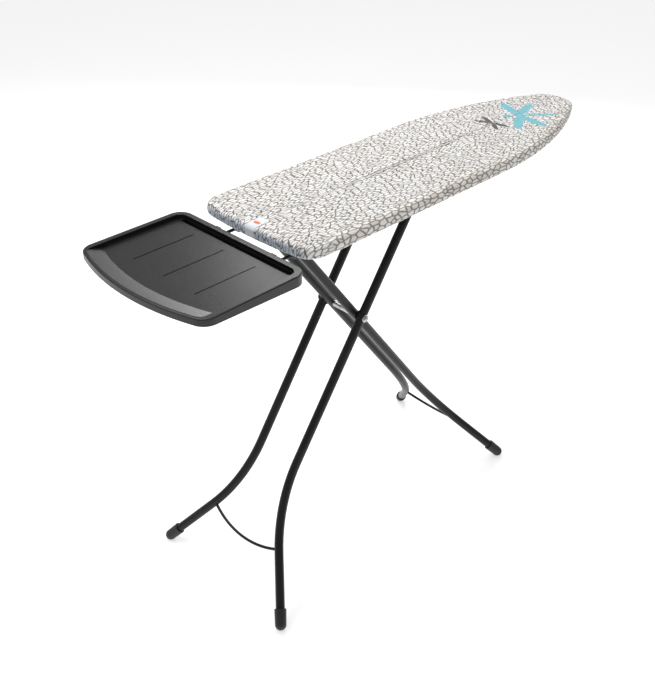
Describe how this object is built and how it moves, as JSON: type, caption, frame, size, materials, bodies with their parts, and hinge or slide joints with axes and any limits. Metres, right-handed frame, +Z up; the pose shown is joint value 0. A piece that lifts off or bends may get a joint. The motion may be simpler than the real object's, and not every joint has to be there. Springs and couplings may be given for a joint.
{
  "type": "ironing board",
  "caption": "Folding ironing board on a black tube scissor frame, with a padded patterned cover and a flat black steam-station tray at its square end.",
  "frame": {"origin": "on the floor, midway between the tray front edge and the nose, in the middle plane", "axes": "+X along the board towards its nose, +Y across it towards the far side, +Z up"},
  "size_m": [1.585, 0.495, 1.0225],
  "materials": {
    "cover_cloth": "printed cotton, fine dark net pattern on off-white",
    "label_cloth": "plain white woven label",
    "foam": "felt over foam",
    "elastic": "woven elastic",
    "black_steel": "black powder coat",
    "black_tube": "semi-gloss black powder coat",
    "zinc_steel": "bright zinc plating",
    "black_plastic": "moulded black plastic",
    "tray_plastic": "fine-grained satin black plastic",
    "foot_rubber": "soft black plastic"
  },
  "bodies": {
    "board": {"cover": "cover_cloth", "cover_label": "label_cloth", "foam_pad": "foam", "hem_elastic": "elastic", "rim_frame": "black_steel", "top_mesh": "black_steel", "cross_brace_rear": "black_steel", "cross_brace_middle": "black_steel", "cross_brace_front": "black_steel", "rack_guide_rear": "black_plastic", "rack_guide_front": "black_plastic", "pivot_rod": "zinc_steel", "pivot_rod_caps": "black_plastic", "return_spring": "zinc_steel", "side_rail_left": "black_steel", "side_rail_right": "black_steel", "pivot_bracket_left": "black_steel", "pivot_bracket_right": "black_steel", "tray_arm_left": "black_tube", "tray_arm_right": "black_tube", "arm_socket_left": "black_plastic", "arm_socket_right": "black_plastic"},
    "inner_legs": {"inner_top_tube": "black_tube", "inner_brace": "black_tube", "axle_bolt": "zinc_steel", "spacer_sleeve": "zinc_steel", "axle_washers": "zinc_steel", "axle_nuts": "zinc_steel", "pivot_bush_left": "black_plastic", "pivot_bush_right": "black_plastic", "inner_leg_left": "black_tube", "inner_leg_right": "black_tube", "inner_foot_left": "foot_rubber", "inner_foot_right": "foot_rubber"},
    "outer_legs": {"outer_crossbar": "black_tube", "outer_brace": "black_tube", "outer_leg_left": "black_tube", "outer_leg_right": "black_tube", "outer_foot_left": "foot_rubber", "outer_foot_right": "foot_rubber", "crossbar_plug_left": "black_plastic", "crossbar_plug_right": "black_plastic", "axle_bush_left": "black_plastic", "axle_bush_right": "black_plastic"},
    "height_release": {"height_rack": "zinc_steel", "release_strap": "black_steel", "release_grip": "black_plastic"},
    "side_tray": {"tray": "tray_plastic", "hinge_bracket_left": "black_plastic", "hinge_bracket_right": "black_plastic", "tray_screws_left": "zinc_steel", "tray_screws_right": "zinc_steel", "hinge_pin_left": "zinc_steel", "hinge_pin_right": "zinc_steel"}
  },
  "joints": [
    {"name": "leg_fold", "type": "hinge", "parent": "board", "child": "inner_legs", "pos_m": [-0.36518, 0, 0.9755], "axis": [0, -1, 0], "range_deg": [0, 48.5]},
    {"name": "outer_leg_turn", "type": "hinge", "parent": "inner_legs", "child": "outer_legs", "pos_m": [-0.1405, 0, 0.6795], "axis": [0, -1, 0], "range_deg": [-99.7, 0]},
    {"name": "tray_fold", "type": "hinge", "parent": "board", "child": "side_tray", "pos_m": [-0.4615, 0, 0.989], "axis": [0, 1, 0], "range_deg": [0, 90]},
    {"name": "release_pull", "type": "slide", "parent": "board", "child": "height_release", "axis": [-1, 0, 0], "range_m": [0, 0.014], "stiffness_N_per_m": 300}
  ],
  "couplings": [
    {"joint": "outer_leg_turn", "follows": "leg_fold", "ratio": -2.0487}
  ]
}
